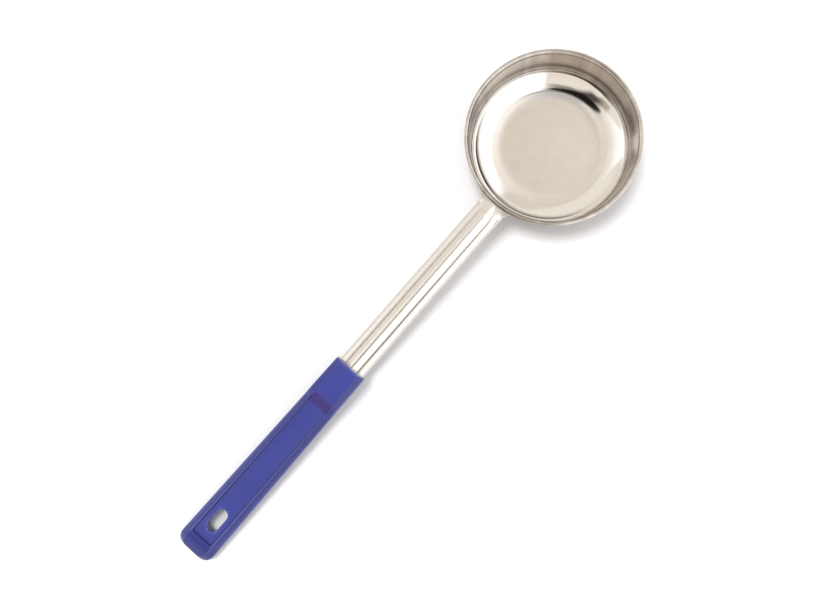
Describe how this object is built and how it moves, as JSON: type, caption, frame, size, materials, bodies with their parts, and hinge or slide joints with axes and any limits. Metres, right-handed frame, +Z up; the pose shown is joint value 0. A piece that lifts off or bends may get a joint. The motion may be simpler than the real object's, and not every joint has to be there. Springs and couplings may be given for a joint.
{
  "type": "portion spoon",
  "caption": "Round flat-bottomed serving bowl with a stepped wall, stamped in one piece with a ribbed shank, with a moulded grip that has a sunken panel and a hanging slot.",
  "frame": {"origin": "on the table, under the middle of the spoon's length and width", "axes": "+X along the handle from the grip towards the bowl, +Y across it, +Z up from the table that the spoon lies on"},
  "size_m": [0.3156, 0.0878, 0.0301],
  "materials": {
    "stainless_steel": "drawn stainless sheet, polished inside the bowl and on the shank",
    "blue_plastic": "moulded blue plastic with a fine satin grain"
  },
  "bodies": {
    "root": {"bowl_and_shank": "stainless_steel", "grip": "blue_plastic"}
  },
  "joints": []
}
